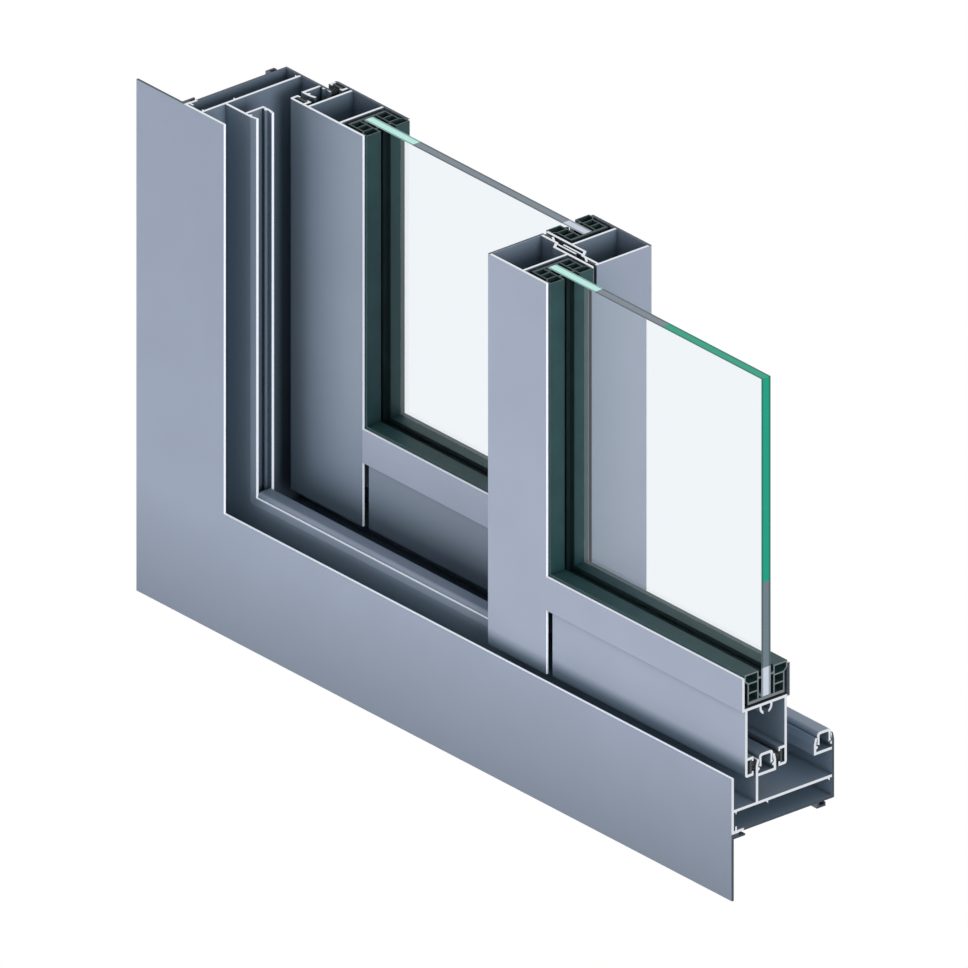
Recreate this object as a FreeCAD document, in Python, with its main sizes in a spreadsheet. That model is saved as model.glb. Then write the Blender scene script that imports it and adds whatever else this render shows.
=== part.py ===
import FreeCAD, Part
import math
import os

import Sketcher

# Corner section of a two-track aluminium sliding window, in millimetres.
# X runs along the sill, Y runs from the outer face into the wall, Z runs up the jamb.
# The pieces are drawn from the outer corner of the flange. Their placements move the
# origin to the reveal corner on the back of the flange, where the window meets the wall.

SIZES = {
    # The cut length of the sample along the sill and its cut height
    "cut_length": 463.2,
    "cut_height": 284.5,
    # Frame extrusion: u is the distance from the outer edge of the flange
    "flange_width": 68.3,
    "wall": 1.5,
    "outer_web": 37.2,
    "chamber_height": 10.2,
    "hook_drop": 3.0,
    "hook_lip": 1.0,
    "front_hook_gap": 3.2,
    "front_hook_length": 4.3,
    "rear_hook_inset": 11.3,
    "rear_hook_length": 5.7,
    "rear_hook_tooth": 1.2,
    "rib_offset": 2.4,
    "rib_height": 2.2,
    "tooth_height": 1.5,
    "tooth_width": 1.4,
    # Rounding of thin edges, and of the bend at the foot of a sash profile
    "edge_round": 0.4,
    "bend_round": 1.5,
    # Rail heads, one for each sash, each height from the one before it
    "front_rail": 22.5,
    "rail_spacing": 37.9,
    "rail_width": 13.2,
    "rail_rise": 13.9,
    "shoulder_rise": 5.7,
    "tip_rise": 3.6,
    "tip_lean": 0.8,
    "snap_bump": 1.0,
    "bump_rise": 1.5,
    # Snap-in caps that the rollers run on
    "cap_rise": 2.9,
    "cap_round": 1.8,
    "cap_ledge": 1.3,
    "cap_gap": 0.4,
    "cap_leg": 1.2,
    "cap_clearance": 0.1,
    "cap_barb": 0.55,
    "cap_leg_drop": 0.9,
    # Sash extrusions, which overlap the rail heads
    "sash_overlap": 10.7,
    "sash_depth": 31.0,
    "rail_setback": 1.9,
    "rail_leg_height": 36.9,
    "stile_leg_height": 12.7,
    "rail_pocket": 17.4,
    "stile_pocket": 18.6,
    "stile_lift": 1.6,
    "lip_reach": 3.9,
    "lip_return": 1.0,
    "brush_slot": 7.7,
    "port_outer": 4.2,
    "port_inner": 2.9,
    "port_mouth": 3.3,
    "port_drop": 0.9,
    "corner_slot": 2.6,
    "notch_clearance": 1.4,
    "joint_clearance": 0.1,
    # Meeting stiles, one turned half round to hook into the other
    "meeting_left": 265.2,
    "meeting_chamber": 24.0,
    "bulge": 4.0,
    "bulge_length": 13.2,
    "bulge_slope": 3.2,
    "tongue": 1.1,
    "tongue_length": 15.6,
    "tongue_gap": 0.8,
    "barb_height": 2.5,
    "barb_position": 9.3,
    # Glazing gasket and glass
    "glass_thickness": 6.0,
    "gasket_depth": 17.2,
    "gasket_overhang": 1.5,
    "gasket_base": 1.6,
    "gasket_skin": 0.8,
    "gasket_rung": 0.8,
    "gasket_width": 24.0,
    "gasket_groove": 1.8,
    "gasket_flare": 3.7,
    "gasket_lip": 0.7,
    "gasket_lip_depth": 4.0,
    "gasket_fit": 0.05,
    "glass_seat": 1.7,
    # Brush seals
    "brush_backing": 1.2,
    "brush_pile": 3.6,
    "brush_fit": 0.15,
    "meeting_brush_width": 4.6,
    # Rollers inside the bottom rails
    "wheel_radius": 7.5,
    "wheel_width": 7.0,
    "wheel_chamfer": 0.8,
    "axle_radius": 2.0,
    "housing_length": 52.0,
    "housing_sheet": 1.5,
    "housing_width": 13.0,
    "housing_clearance": 1.0,
    "roller_inset": 9.0,
    "running_gap": 0.1,
    # Angle cleat inside the mitred frame corner
    "cleat_arm": 62.0,
    "cleat_play": 0.5,
    "cleat_hole": 5.0,
}

doc = FreeCAD.newDocument("sliding_window_corner")


class Size:
    """A length with its number and the spreadsheet expression that it comes from."""

    def __init__(self, value, text):
        self.value = value
        self.text = text

    @staticmethod
    def of(other):
        return other if isinstance(other, Size) else Size(float(other), repr(float(other)))

    def __add__(self, other):
        other = Size.of(other)
        return Size(self.value + other.value, f"({self.text} + {other.text})")

    def __sub__(self, other):
        other = Size.of(other)
        return Size(self.value - other.value, f"({self.text} - {other.text})")

    def __mul__(self, other):
        other = Size.of(other)
        return Size(self.value * other.value, f"({self.text} * {other.text})")

    def __truediv__(self, other):
        other = Size.of(other)
        return Size(self.value / other.value, f"({self.text} / {other.text})")

    def root(self):
        return Size(math.sqrt(self.value), f"sqrt({self.text})")


class Sizes:
    """The spreadsheet of driving dimensions, each read back as a Size."""

    def __init__(self, values):
        sheet = doc.addObject("Spreadsheet::Sheet", "sizes")
        for row, (name, value) in enumerate(values.items(), start=1):
            sheet.set(f"A{row}", name)
            sheet.set(f"B{row}", str(value))
            sheet.setAlias(f"B{row}", name)
        doc.recompute()
        for name in values:
            setattr(self, name, Size(float(sheet.get(name)), f"sizes.{name}"))


S = Sizes(SIZES)
ZERO = Size.of(0)
CELLS = 3

# Positions that several pieces share
outer_web_in = S.outer_web + S.wall
inner_web = outer_web_in + S.chamber_height
inner_web_in = inner_web + S.wall
reveal = S.outer_web - S.hook_drop
rear_rail = S.front_rail + S.rail_spacing
rail_half = S.rail_width / 2
frame_depth = rear_rail + rail_half
rib_end = S.rib_offset + S.rib_height / 2
rail_base = inner_web_in + S.rail_rise
rail_floor = rail_base + S.wall
rail_shoulder = rail_base + S.shoulder_rise
rail_tip = rail_shoulder + S.tip_rise
tip_half = rail_half - S.tip_lean
cap_top = rail_tip + S.cap_rise
axle_height = cap_top + S.wheel_radius + S.running_gap
sash_start = cap_top - S.sash_overlap
stile_start = sash_start + S.stile_lift
sash_half = S.sash_depth / 2
sash_inner_half = sash_half - S.wall
glazing_web = sash_start + S.rail_leg_height
stile_web = sash_start + S.stile_leg_height
pocket_floor = glazing_web + S.wall
rail_wall_end = pocket_floor + S.rail_pocket
notch_half = rail_half + S.notch_clearance
notch_top = cap_top + S.notch_clearance
meeting_web = S.meeting_left + S.wall + S.meeting_chamber
meeting_floor = meeting_web + S.wall
meeting_right = meeting_floor + S.stile_pocket
jamb_stile_right = pocket_floor + S.stile_pocket
swing_x = (S.meeting_left + meeting_right) / 2
swing_y = (S.front_rail + rear_rail) / 2
rear_meeting_left = swing_x * 2 - meeting_right
rear_meeting_floor = swing_x * 2 - meeting_floor


class Arc:
    """A round side: its radius, and whether it turns left (+1) or right (-1)."""

    def __init__(self, radius, turn):
        self.radius = radius
        self.turn = turn


def arc_geometry(start, end, arc):
    """The arc between two numeric points, and which of its ends the outline starts from."""
    chord = end - start
    half = chord.Length / 2
    left = FreeCAD.Vector(-chord.y, chord.x, 0).normalize()
    offset = math.sqrt(max(arc.radius.value ** 2 - half ** 2, 0))
    centre = (start + end) * 0.5 + left * (offset * arc.turn)
    first = math.atan2(start.y - centre.y, start.x - centre.x)
    last = math.atan2(end.y - centre.y, end.x - centre.x)
    circle = Part.Circle(centre, FreeCAD.Vector(0, 0, 1), arc.radius.value)
    if arc.turn > 0:
        return Part.ArcOfCircle(circle, first, last), 1
    return Part.ArcOfCircle(circle, last, first), 2


def toward(corner, other, distance):
    """The point at a distance from a corner, along its upright or level side."""
    across = other[0].value - corner[0].value
    up = other[1].value - corner[1].value
    if abs(across) > abs(up):
        return corner[0] + distance * math.copysign(1, across), corner[1]
    return corner[0], corner[1] + distance * math.copysign(1, up)


def round_corners(points, arcs):
    """An outline in which each corner that carries a radius, (across, up, radius), is an arc."""
    count = len(points)
    outline = []
    round_sides = {}
    for i, (across, up, *radius) in enumerate(points):
        before = points[i - 1]
        after = points[(i + 1) % count]
        if radius:
            run = (across.value - before[0].value, up.value - before[1].value)
            leave = (after[0].value - across.value, after[1].value - up.value)
            turn = 1 if run[0] * leave[1] > run[1] * leave[0] else -1
            round_sides[len(outline)] = Arc(radius[0], turn)
            outline.append(toward((across, up), before, radius[0]))
            outline.append(toward((across, up), after, radius[0]))
        else:
            outline.append((across, up))
        if i in arcs:
            round_sides[len(outline) - 1] = arcs[i]
    return outline, round_sides


def draw_outline(sketch, points, arcs=None):
    """Add one closed outline to a sketch, with every corner bound to the spreadsheet."""
    points, arcs = round_corners(points, arcs or {})
    count = len(points)
    numbers = [FreeCAD.Vector(a.value, b.value, 0) for a, b in points]
    first = sketch.GeometryCount
    starts = []
    for i, start in enumerate(numbers):
        end = numbers[(i + 1) % count]
        if i in arcs:
            geometry, start_end = arc_geometry(start, end, arcs[i])
        else:
            geometry, start_end = Part.LineSegment(start, end), 1
        sketch.addGeometry(geometry, False)
        starts.append(start_end)
    constraints = []
    bindings = []
    for i in range(count):
        following = (i + 1) % count
        ends = (first + i, 3 - starts[i], first + following, starts[following])
        constraints.append(Sketcher.Constraint("Coincident", *ends))
    for i, (across, up) in enumerate(points):
        corner = (-1, 1, first + i, starts[i])
        bindings.append((len(constraints), across.text))
        constraints.append(Sketcher.Constraint("DistanceX", *corner, across.value))
        bindings.append((len(constraints), up.text))
        constraints.append(Sketcher.Constraint("DistanceY", *corner, up.value))
    for i, arc in arcs.items():
        bindings.append((len(constraints), arc.radius.text))
        constraints.append(Sketcher.Constraint("Radius", first + i, arc.radius.value))
    offset = sketch.ConstraintCount
    sketch.addConstraint(constraints)
    for index, text in bindings:
        sketch.setExpression(f"Constraints[{offset + index}]", text)


def new_body(name):
    body = doc.addObject("PartDesign::Body", name)
    body.Label = name
    return body


def new_sketch(body, name, plane, at=None):
    """A sketch on an origin plane of its body, moved along the plane's normal."""
    sketch = body.newObject("Sketcher::SketchObject", name)
    support = [f for f in body.Origin.OriginFeatures if f.Role == plane][0]
    sketch.AttachmentSupport = [(support, "")]
    sketch.MapMode = "FlatFace"
    if at is not None:
        sketch.setExpression("AttachmentOffset.Base.z", at.text)
    return sketch


def pad(body, sketch, length):
    feature = body.newObject("PartDesign::Pad", f"{body.Name}_{sketch.Name}_pad")
    feature.Profile = sketch
    feature.setExpression("Length", length.text)
    return feature


def cut_through(body, sketch):
    feature = body.newObject("PartDesign::Pocket", f"{body.Name}_{sketch.Name}_cut")
    feature.Profile = sketch
    feature.SideType = "Symmetric"
    feature.Type = "ThroughAll"
    return feature


def cut_box(body, name, low, high):
    """Mill a rectangular notch out of a body, from one corner to the other."""
    box = body.newObject("PartDesign::SubtractiveBox", f"{body.Name}_{name}")
    for side, start, end in zip(("Length", "Width", "Height"), low, high):
        box.setExpression(side, (end - start).text)
    for axis, start in zip("xyz", low):
        box.setExpression(f"Placement.Base.{axis}", start.text)
    return box


def set_in_place(body):
    """Move a body from the flange corner to the reveal corner."""
    for axis, shift in zip("xyz", (reveal, S.wall, reveal)):
        body.setExpression(f"Placement.Base.{axis}", (ZERO - shift).text)


def set_half_round(body):
    """Turn a body half round the middle of the interlock, as the rear sash's stile is."""
    body.Placement = FreeCAD.Placement(FreeCAD.Vector(), FreeCAD.Rotation(180, 0, 0))
    shifts = (swing_x * 2 - reveal, swing_y * 2 - S.wall, ZERO - reveal)
    for axis, shift in zip("xyz", shifts):
        body.setExpression(f"Placement.Base.{axis}", shift.text)


def swap(points):
    return [(b, a, *radius) for a, b, *radius in points]


# Frame extrusion

def rail_leg(centre, side):
    """One leg of a rail head from its outer foot over the tip to the channel floor, as (u, y)."""

    def at(u, half):
        return u, centre + half * side

    inner = rail_half - S.wall
    bump = inner - S.snap_bump
    bump_start = rail_floor + S.bump_rise
    bump_end = bump_start + S.snap_bump * 2
    return [
        at(rail_shoulder, rail_half),
        at(rail_tip, tip_half),
        at(rail_tip, tip_half - S.wall),
        at(rail_shoulder, inner),
        at(bump_end, inner),
        at(bump_end - S.snap_bump / 2, bump),
        at(bump_start + S.snap_bump / 2, bump),
        at(bump_start, inner),
        at(rail_floor, inner),
    ]


def frame_outline():
    """The frame extrusion's outside as (u, y), from the outer edge of the flange."""
    inner = rail_half - S.wall
    front_face = S.front_rail - rail_half
    lip = S.outer_web - S.hook_drop + S.hook_lip
    front_hook_foot = S.wall + S.front_hook_gap
    front_hook_reach = front_hook_foot + S.front_hook_length
    rear_hook_start = frame_depth - S.rear_hook_inset
    rear_hook_reach = rear_hook_start + S.rear_hook_length
    points = [
        (ZERO, ZERO, S.edge_round),
        (S.flange_width, ZERO, S.edge_round),
        (S.flange_width, S.wall, S.edge_round),
        (inner_web_in, S.wall),
        (inner_web_in, front_face),
    ]
    points += rail_leg(S.front_rail, -1)
    points += rail_leg(S.front_rail, 1)[::-1]
    points += [
        (rail_base, S.front_rail + rail_half),
        (rail_base, S.front_rail - inner),
        (inner_web_in, S.front_rail - inner),
        (inner_web_in, rear_rail + inner),
        (rail_base, rear_rail + inner),
        (rail_base, rear_rail - rail_half),
    ]
    points += rail_leg(rear_rail, -1)
    points += rail_leg(rear_rail, 1)[::-1]
    points += [
        (S.outer_web, frame_depth, S.edge_round),
        (S.outer_web, rear_hook_start + S.wall),
        (lip, rear_hook_start + S.wall),
        (lip, rear_hook_reach - S.hook_lip),
        (lip + S.rear_hook_tooth, rear_hook_reach - S.hook_lip),
        (lip + S.rear_hook_tooth, rear_hook_reach),
        (reveal, rear_hook_reach),
        (reveal, rear_hook_start),
        (S.outer_web, rear_hook_start),
        (S.outer_web, front_hook_foot),
        (lip, front_hook_foot),
        (lip, front_hook_reach),
        (reveal, front_hook_reach),
        (reveal, S.wall),
        (ZERO, S.wall),
    ]
    return points


def frame_chamber():
    """The closed chamber with the ribs that hold the corner cleat, as (u, y)."""
    rear_face = frame_depth - S.wall
    middle_tooth = S.front_rail
    rear_tooth = rear_face - S.tooth_width
    return [
        (outer_web_in, S.wall),
        (inner_web, S.wall),
        (inner_web, S.rib_offset),
        (inner_web - S.tooth_height, rib_end - S.hook_lip / 2),
        (inner_web, rib_end),
        (inner_web, middle_tooth),
        (inner_web - S.tooth_height, middle_tooth + S.tooth_width),
        (inner_web, middle_tooth + S.tooth_width),
        (inner_web, rear_tooth - S.tooth_width),
        (inner_web - S.tooth_height, rear_tooth),
        (inner_web, rear_tooth),
        (inner_web, rear_face),
        (outer_web_in, rear_face),
        (outer_web_in, rib_end),
        (outer_web_in + S.rib_height, rib_end),
        (outer_web_in + S.rib_height, S.rib_offset),
        (outer_web_in, S.rib_offset),
    ]


def frame_piece(name, upright):
    """The sill or the jamb: one length of the frame extrusion, mitred at the corner."""
    body = new_body(name)
    profile = new_sketch(body, "profile", "XY_Plane" if upright else "YZ_Plane")
    for points in (frame_outline(), frame_chamber()):
        draw_outline(profile, points if upright else swap(points))
    pad(body, profile, S.cut_height if upright else S.cut_length)
    doc.recompute()
    mitre = new_sketch(body, "mitre", "XZ_Plane")
    low = ZERO - S.wall
    high = rail_tip + S.wall
    far_corner = (high, low) if upright else (low, high)
    draw_outline(mitre, [(low, low), (high, high), far_corner])
    cut_through(body, mitre)
    set_in_place(body)
    return body


def rail_cap(name, centre):
    """A cap that clicks between the legs of a rail head and closes it with a round-shouldered top."""
    body = new_body(name)
    cap_half = tip_half - S.cap_ledge
    leg_outer = tip_half - S.wall - S.cap_clearance
    leg_inner = leg_outer - S.cap_leg
    barb_at = rail_shoulder + S.cap_barb
    crown = cap_top - S.wall
    shoulder = cap_top - S.cap_round
    half = [
        (cap_half - S.cap_round, cap_top),
        (cap_half, shoulder),
        (cap_half, rail_tip + S.cap_gap),
        (leg_outer, rail_tip + S.cap_gap),
        (leg_outer, barb_at),
        (leg_outer + S.cap_barb, barb_at - S.cap_barb),
        (leg_inner, rail_shoulder - S.cap_leg_drop),
        (leg_inner, crown - S.cap_round / 2),
        (leg_inner - S.cap_round / 2, crown),
    ]
    right = [(centre + across, up) for across, up in half]
    left = [(centre - across, up) for across, up in half]
    arcs = {
        0: Arc(S.cap_round, -1),
        7: Arc(S.cap_round / 2, 1),
        9: Arc(S.cap_round / 2, 1),
        16: Arc(S.cap_round, -1),
    }
    start = rail_tip + S.joint_clearance
    profile = new_sketch(body, "profile", "YZ_Plane", start)
    draw_outline(profile, right + left[::-1], arcs)
    pad(body, profile, S.cut_length - start)
    set_in_place(body)
    return body


def corner_cleat(name):
    """The angle cleat that joins sill and jamb inside their chambers."""
    body = new_body(name)
    low = outer_web_in + S.joint_clearance
    thick = low + S.chamber_height - S.tooth_height - S.cleat_play
    end = low + S.cleat_arm
    front_side = rib_end + S.cleat_play
    rear_side = frame_depth - S.wall - S.tooth_width * 2 - S.cleat_play
    sketch = new_sketch(body, "profile", "XZ_Plane", ZERO - rear_side)
    corners = [(low, low), (end, low), (end, thick), (thick, thick), (thick, end), (low, end)]
    draw_outline(sketch, corners)
    pad(body, sketch, rear_side - front_side)
    doc.recompute()
    middle = (front_side + rear_side) / 2
    for plane in ("XY_Plane", "YZ_Plane"):
        holes = new_sketch(body, f"screw_hole_{plane[:2]}", plane)
        along = (thick + end) / 2
        centre = (along, middle) if plane == "XY_Plane" else (middle, along)
        add_circle(holes, centre, S.cleat_hole / 2)
        cut_through(body, holes)
    set_in_place(body)
    return body


def add_circle(sketch, centre, radius):
    point = FreeCAD.Vector(centre[0].value, centre[1].value, 0)
    index = sketch.GeometryCount
    sketch.addGeometry(Part.Circle(point, FreeCAD.Vector(0, 0, 1), radius.value), False)
    rules = (
        Sketcher.Constraint("DistanceX", -1, 1, index, 3, centre[0].value),
        Sketcher.Constraint("DistanceY", -1, 1, index, 3, centre[1].value),
        Sketcher.Constraint("Radius", index, radius.value),
    )
    for rule, size in zip(rules, (centre[0], centre[1], radius)):
        place = sketch.addConstraint(rule)
        sketch.setExpression(f"Constraints[{place}]", size.text)


# Sash extrusions

def leg_lips(centre, side, wall_inner, outer):
    """The brush slot on one leg of a sash profile, from its outer face to the glazing web."""

    def at(half, up):
        return centre + half * side, up

    mouth = wall_inner - S.lip_reach
    slot_low = sash_start + S.wall
    slot_high = slot_low + S.brush_slot
    return [
        (*at(outer, sash_start), S.bend_round),
        at(mouth, sash_start),
        at(mouth, slot_low + S.lip_return),
        at(mouth + S.lip_return, slot_low + S.lip_return),
        at(mouth + S.lip_return, slot_low),
        at(wall_inner, slot_low),
        at(wall_inner, slot_high),
        at(mouth + S.lip_return, slot_high),
        at(mouth + S.lip_return, slot_high - S.lip_return),
        at(mouth, slot_high - S.lip_return),
        at(mouth, slot_high + S.wall),
        at(wall_inner, slot_high + S.wall),
    ]


def port_outline(centre):
    """The two hooks of the screw port under the glazing web, from the right one to the left."""
    middle = glazing_web - S.port_drop
    half_mouth = S.port_mouth / 2
    root = (S.port_outer * S.port_outer - S.port_drop * S.port_drop).root()
    inner_root = (S.port_inner * S.port_inner - S.port_drop * S.port_drop).root()
    outer_drop = (S.port_outer * S.port_outer - half_mouth * half_mouth).root()
    inner_drop = (S.port_inner * S.port_inner - half_mouth * half_mouth).root()
    points = [
        (centre + root, glazing_web),
        (centre + half_mouth, middle - outer_drop),
        (centre + half_mouth, middle - inner_drop),
        (centre + inner_root, glazing_web),
        (centre - inner_root, glazing_web),
        (centre - half_mouth, middle - inner_drop),
        (centre - half_mouth, middle - outer_drop),
        (centre - root, glazing_web),
    ]
    arcs = {
        0: Arc(S.port_outer, -1),
        2: Arc(S.port_inner, 1),
        4: Arc(S.port_inner, 1),
        6: Arc(S.port_outer, -1),
    }
    return points, arcs


def bottom_rail(name, centre, start, end, web_start, web_end):
    """A sash bottom rail between two stiles, its web and screw port reaching into their pockets."""
    body = new_body(name)
    lower_half = sash_half - S.rail_setback
    lower_inner = lower_half - S.wall
    port, port_arcs = port_outline(centre)

    right = leg_lips(centre, 1, lower_inner, lower_half)
    left = leg_lips(centre, -1, lower_inner, lower_half)
    profile = [
        (centre - lower_half, glazing_web),
        (centre - sash_half, glazing_web, S.edge_round),
        (centre - sash_half, rail_wall_end, S.edge_round),
        (centre - sash_inner_half, rail_wall_end, S.edge_round),
        (centre - sash_inner_half, pocket_floor),
        (centre + sash_inner_half, pocket_floor),
        (centre + sash_inner_half, rail_wall_end, S.edge_round),
        (centre + sash_half, rail_wall_end, S.edge_round),
        (centre + sash_half, glazing_web, S.edge_round),
        (centre + lower_half, glazing_web),
    ]
    profile += right + [(centre + lower_inner, glazing_web)]
    first = len(profile)
    profile += port + [(centre - lower_inner, glazing_web)] + left[::-1]
    arcs = {first + i: arc for i, arc in port_arcs.items()}

    slot_start = start + S.corner_slot
    slot_end = end - (ZERO if end is S.cut_length else S.corner_slot)
    full = new_sketch(body, "profile", "YZ_Plane", slot_start)
    draw_outline(full, profile, arcs)
    pad(body, full, slot_end - slot_start)

    web_half = sash_inner_half - S.joint_clearance
    web = [(centre + web_half, glazing_web)] + port
    web += [
        (centre - web_half, glazing_web),
        (centre - web_half, pocket_floor),
        (centre + web_half, pocket_floor),
    ]
    web_arcs = {1 + i: arc for i, arc in port_arcs.items()}
    pieces = [(web_start + S.joint_clearance, slot_start, start, slot_start)]
    if end is not S.cut_length:
        pieces.append((slot_end, web_end - S.joint_clearance, slot_end, end))
    for i, (web_low, web_high, wall_low, wall_high) in enumerate(pieces):
        tongue = new_sketch(body, f"web_tongue_{i}", "YZ_Plane", web_low)
        draw_outline(tongue, web, web_arcs)
        pad(body, tongue, web_high - web_low)
        for label, side in (("outer", -1), ("inner", 1)):
            wall = new_sketch(body, f"{label}_wall_end_{i}", "YZ_Plane", wall_low)
            draw_outline(wall, [
                (centre + sash_half * side, glazing_web, S.edge_round),
                (centre + web_half * side, glazing_web),
                (centre + web_half * side, pocket_floor),
                (centre + sash_inner_half * side, pocket_floor),
                (centre + sash_inner_half * side, rail_wall_end, S.edge_round),
                (centre + sash_half * side, rail_wall_end, S.edge_round),
            ])
            pad(body, wall, wall_high - wall_low)
    set_in_place(body)
    return body


def jamb_stile(name, centre):
    """The stile that closes over the jamb's rail head, with a closed chamber."""
    body = new_body(name)
    right = leg_lips(centre, 1, sash_inner_half, sash_half)
    left = leg_lips(centre, -1, sash_inner_half, sash_half)
    outline = [
        (centre - sash_half, jamb_stile_right, S.edge_round),
        (centre - sash_inner_half, jamb_stile_right, S.edge_round),
        (centre - sash_inner_half, pocket_floor),
        (centre + sash_inner_half, pocket_floor),
        (centre + sash_inner_half, jamb_stile_right, S.edge_round),
        (centre + sash_half, jamb_stile_right, S.edge_round),
    ]
    outline += right
    outline += [
        (centre + sash_inner_half, stile_web),
        (centre - sash_inner_half, stile_web),
    ]
    outline += left[::-1]
    chamber_low = stile_web + S.wall
    chamber = [
        (centre - sash_inner_half, chamber_low),
        (centre + sash_inner_half, chamber_low),
        (centre + sash_inner_half, glazing_web),
        (centre - sash_inner_half, glazing_web),
    ]
    profile = new_sketch(body, "profile", "XY_Plane", stile_start)
    draw_outline(profile, swap(outline))
    draw_outline(profile, swap(chamber))
    pad(body, profile, S.cut_height - stile_start)
    doc.recompute()
    low = (sash_start - S.wall, centre - notch_half, sash_start)
    cut_box(body, "rail_notch", low, (pocket_floor + S.wall, centre + notch_half, notch_top))
    set_in_place(body)
    return body


def meeting_stile(name):
    """The front sash's meeting stile with its interlocking tongue and brush barb."""
    body = new_body(name)
    centre = S.front_rail
    front = centre - sash_half
    front_in = centre - sash_inner_half
    rear_in = centre + sash_inner_half
    rear = centre + sash_half
    bulge_in = rear_in + S.bulge
    bulge_out = rear + S.bulge
    bulge_end = S.meeting_left + S.bulge_length
    slope_end = bulge_end + S.bulge_slope
    tongue_low = swing_y - S.tongue_gap / 2 - S.tongue
    tongue_high = tongue_low + S.tongue
    tongue_end = bulge_end + S.tongue_length
    barb = S.meeting_left + S.barb_position
    outline = [
        (S.meeting_left, front, S.edge_round),
        (meeting_right, front, S.edge_round),
        (meeting_right, front_in, S.edge_round),
        (meeting_floor, front_in),
        (meeting_floor, rear_in),
        (meeting_right, rear_in, S.edge_round),
        (meeting_right, rear, S.edge_round),
        (slope_end, rear),
        (bulge_end + S.wall, tongue_low),
        (tongue_end, tongue_low),
        (tongue_end, tongue_high),
        (bulge_end + S.tongue, tongue_high),
        (bulge_end, bulge_out),
        (barb + S.wall, bulge_out),
        (barb - S.barb_height, bulge_out + S.barb_height),
        (barb - S.barb_height - S.tongue / 2, bulge_out + S.barb_height - S.tongue),
        (barb - S.tongue / 2, bulge_out),
        (S.meeting_left + S.wall, bulge_out),
        (S.meeting_left + S.wall, bulge_out + S.hook_lip),
        (S.meeting_left, bulge_out + S.hook_lip),
    ]
    chamber = [
        (S.meeting_left + S.wall, front_in),
        (meeting_web, front_in),
        (meeting_web, rear_in),
        (slope_end - S.wall / 2, rear_in),
        (bulge_end - S.wall / 2, bulge_in),
        (S.meeting_left + S.wall, bulge_in),
    ]
    profile = new_sketch(body, "profile", "XY_Plane", stile_start)
    draw_outline(profile, outline)
    draw_outline(profile, chamber)
    pad(body, profile, S.cut_height - stile_start)
    doc.recompute()
    low = (S.meeting_left - S.wall, centre - notch_half, sash_start)
    cut_box(body, "rail_notch", low, (meeting_floor + S.wall, centre + notch_half, notch_top))
    return body


# Glazing

def gasket_profile(sketch, centre, base, side, upright):
    """The U gasket: two cheeks of three cells each on a base, with lips that press on the glass."""

    def at(half, depth):
        along = base + depth * side
        return (along, centre + half) if upright else (centre + half, along)

    outer = S.gasket_width / 2
    flared = sash_inner_half - S.gasket_fit
    glass = S.glass_thickness / 2 + S.gasket_fit
    inner = glass + S.gasket_groove
    top = S.gasket_depth
    flare_start = top - S.gasket_flare - (flared - outer)
    flare_end = top - S.gasket_flare
    lip = top - S.gasket_lip_depth
    half = [
        (outer, ZERO),
        (outer, flare_start),
        (flared, flare_end),
        (flared, top),
        (inner, top),
        (inner, lip + S.gasket_lip),
        (glass, lip),
        (glass, lip - S.gasket_lip),
        (inner, lip - S.gasket_lip),
        (inner, S.gasket_base),
    ]
    right = [at(across, depth) for across, depth in half]
    left = [at(ZERO - across, depth) for across, depth in half]
    draw_outline(sketch, right + left[::-1])
    pitch = (S.gasket_depth - S.gasket_base - S.gasket_skin + S.gasket_rung) / CELLS
    for sign in (1, -1):
        near = (inner + S.gasket_skin) * sign
        far = (outer - S.gasket_skin) * sign
        flared_far = (flared - S.gasket_skin) * sign
        for cell in range(CELLS):
            low = S.gasket_base + pitch * cell
            high = low + pitch - S.gasket_rung
            corners = [at(near, low), at(far, low), at(far, high), at(near, high)]
            if cell == CELLS - 1:
                corners[2:3] = [at(flared_far, flare_end), at(flared_far, high)]
            draw_outline(sketch, corners)


def upright_gasket(name, centre, wall_end, side):
    """A gasket in a stile's pocket, mitred at its foot; side is +1 where the pocket opens to +X."""
    body = new_body(name)
    reach = S.gasket_depth * side
    tip = wall_end + S.gasket_overhang * side
    base = tip - reach
    foot = rail_wall_end + S.gasket_overhang - S.gasket_depth
    profile = new_sketch(body, "profile", "XY_Plane", foot)
    gasket_profile(profile, centre, base, side, True)
    pad(body, profile, S.cut_height - foot)
    doc.recompute()
    mitre = new_sketch(body, "mitre", "XZ_Plane")
    margin = S.wall * side
    draw_outline(mitre, [
        (base - margin, foot - S.wall),
        (tip + margin, foot - S.wall),
        (tip + margin, foot + S.gasket_depth + S.wall),
    ])
    cut_through(body, mitre)
    set_in_place(body)
    return body


def bottom_gasket(name, centre, ends):
    """The gasket in a bottom rail's pocket; each end is (stile wall end, side) or the cut plane."""
    body = new_body(name)
    foot = rail_wall_end + S.gasket_overhang - S.gasket_depth
    bases = []
    for wall_end, side in ends:
        bases.append(wall_end + S.gasket_overhang * side - S.gasket_depth * side)
    start = bases[0]
    end = bases[1] if len(bases) > 1 else S.cut_length
    profile = new_sketch(body, "profile", "YZ_Plane", start)
    gasket_profile(profile, centre, foot, 1, False)
    pad(body, profile, end - start)
    doc.recompute()
    for i, (base, (wall_end, side)) in enumerate(zip(bases, ends)):
        mitre = new_sketch(body, f"mitre_{i}", "XZ_Plane")
        margin = S.wall * side
        reach = (S.gasket_depth + S.wall) * side
        draw_outline(mitre, [
            (base - margin, foot - S.wall),
            (base - margin, foot + S.gasket_depth + S.wall),
            (base + reach, foot + S.gasket_depth + S.wall),
        ])
        cut_through(body, mitre)
    set_in_place(body)
    return body


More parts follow.
